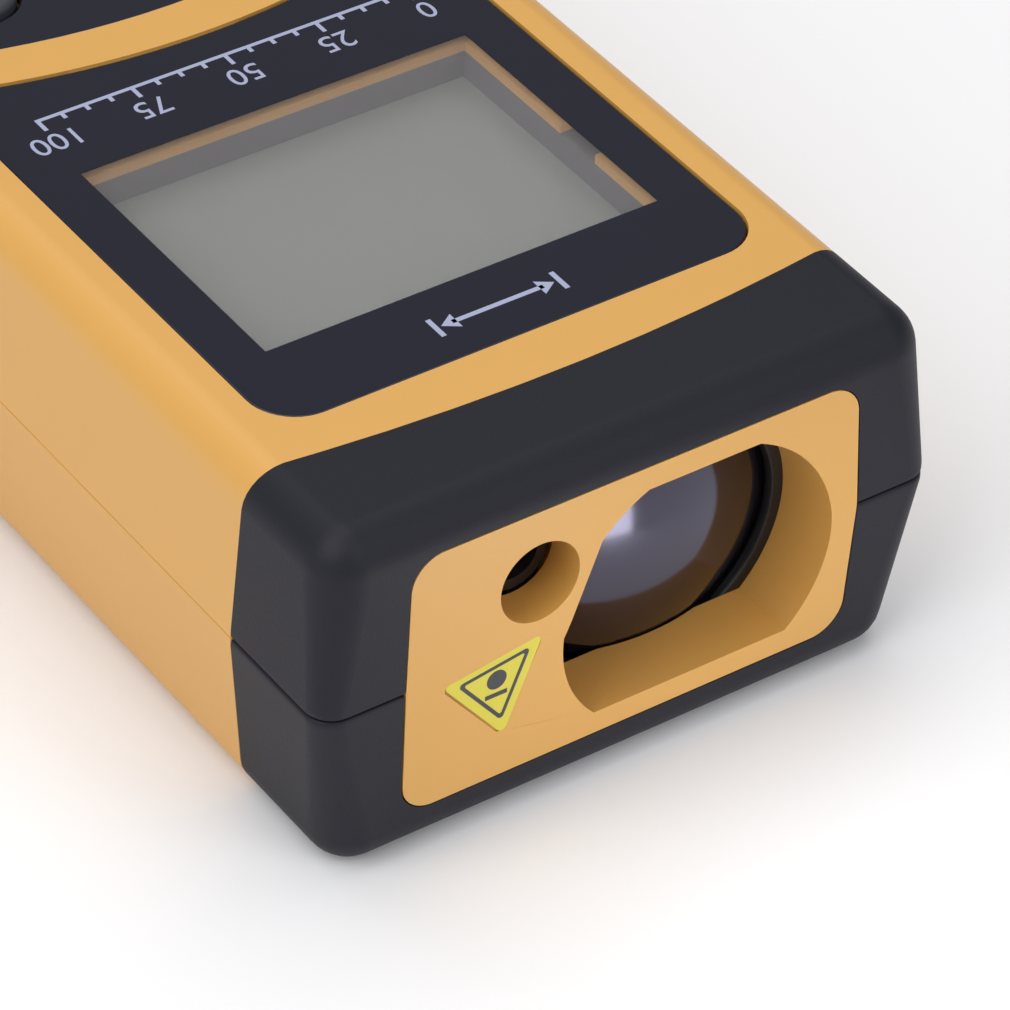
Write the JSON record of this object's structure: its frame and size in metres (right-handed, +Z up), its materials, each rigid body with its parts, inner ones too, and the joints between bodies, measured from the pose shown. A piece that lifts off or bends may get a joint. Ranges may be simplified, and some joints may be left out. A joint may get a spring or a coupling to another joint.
{
  "type": "laser distance meter",
  "caption": "Handheld laser distance meter with a drafted two-part case, overmoulded bumpers, optics panel, display window, keypad and battery bay.",
  "frame": {"origin": "middle of the underside, on the surface the case rests on, midway between optics face and tail", "axes": "+Z up out of the keypad and display, -Y out of the optics along the laser beam, +X to the right of someone looking into the optics"},
  "size_m": [0.054, 0.118, 0.0318],
  "materials": {
    "orange_abs": "fine spark-eroded matt texture, moulded ABS",
    "black_overmould": "fine-grained matt overmould",
    "yellow_sticker": "printed polyester sticker",
    "tinted_acrylic": "polished acrylic, printed dark border on its underside",
    "black_foam": "double-sided foam tape",
    "grey_frame": "moulded, matt",
    "lcd_glass": "reflective segment display, unlit",
    "white_film": "diffusing film",
    "pink_elastomer": "conductive elastomer strip",
    "keypad_black": "satin polycarbonate overlay",
    "key_grey": "matt moulded key cap",
    "key_red": "matt moulded key cap",
    "chassis_black": "glass-filled moulded, matt",
    "ring_black": "moulded, satin",
    "coated_lens": "polished, anti-reflection coated",
    "brass": "turned",
    "steel": "bright plated",
    "amber_film": "polyimide film",
    "green_board": "solder mask on glass-epoxy board",
    "chip_black": "moulded epoxy",
    "cell_wrap": "shrink-wrapped steel can"
  },
  "bodies": {
    "case": {"upper_shell": "orange_abs", "lower_shell": "orange_abs", "front_bumper_upper": "black_overmould", "front_bumper_lower": "black_overmould", "tail_bumper_upper": "black_overmould", "tail_bumper_lower": "black_overmould", "optics_panel": "orange_abs", "laser_label": "yellow_sticker", "display_window": "tinted_acrylic", "window_gasket": "black_foam", "display_frame": "grey_frame", "display_glass": "lcd_glass", "display_reflector": "white_film", "contact_strip": "pink_elastomer", "keypad_fascia": "keypad_black", "key_domes": "steel", "optics_chassis": "chassis_black", "receiver_lens": "coated_lens", "lens_ring": "ring_black", "laser_barrel": "brass", "collimator_lens": "coated_lens", "laser_diode": "steel", "laser_flex": "amber_film", "detector_board": "green_board", "detector": "steel", "detector_pins": "brass", "main_board": "green_board", "shield_can": "steel", "board_chips": "chip_black", "buzzer": "chip_black", "battery_cells": "cell_wrap", "contact_springs": "steel", "contact_plates": "steel", "tripod_insert": "brass", "case_screws": "steel", "board_screws": "steel", "optics_screws": "steel"},
    "measure_key": {"measure_key": "key_red"},
    "area_key": {"area_key": "key_grey"},
    "edge_key": {"edge_key": "key_grey"},
    "plus_key": {"plus_key": "key_grey"},
    "minus_key": {"minus_key": "key_grey"},
    "units_key": {"units_key": "key_grey"},
    "clear_key": {"clear_key": "key_grey"},
    "history_key": {"history_key": "key_grey"},
    "battery_door": {"battery_door": "orange_abs"}
  },
  "joints": [
    {"name": "measure_press", "type": "slide", "parent": "case", "child": "measure_key", "axis": [0, 0, -1], "range_m": [0, 0.0008], "stiffness_N_per_m": 900},
    {"name": "area_press", "type": "slide", "parent": "case", "child": "area_key", "axis": [0, 0, -1], "range_m": [0, 0.0008], "stiffness_N_per_m": 900},
    {"name": "edge_press", "type": "slide", "parent": "case", "child": "edge_key", "axis": [0, 0, -1], "range_m": [0, 0.0008], "stiffness_N_per_m": 900},
    {"name": "plus_press", "type": "slide", "parent": "case", "child": "plus_key", "axis": [0, 0, -1], "range_m": [0, 0.0008], "stiffness_N_per_m": 900},
    {"name": "minus_press", "type": "slide", "parent": "case", "child": "minus_key", "axis": [0, 0, -1], "range_m": [0, 0.0008], "stiffness_N_per_m": 900},
    {"name": "units_press", "type": "slide", "parent": "case", "child": "units_key", "axis": [0, 0, -1], "range_m": [0, 0.0008], "stiffness_N_per_m": 900},
    {"name": "clear_press", "type": "slide", "parent": "case", "child": "clear_key", "axis": [0, 0, -1], "range_m": [0, 0.0008], "stiffness_N_per_m": 900},
    {"name": "history_press", "type": "slide", "parent": "case", "child": "history_key", "axis": [0, 0, -1], "range_m": [0, 0.0008], "stiffness_N_per_m": 900},
    {"name": "door_hinge", "type": "hinge", "parent": "case", "child": "battery_door", "pos_m": [0, -0.0007, 0], "axis": [-1, 0, 0], "range_deg": [0, 70]}
  ]
}
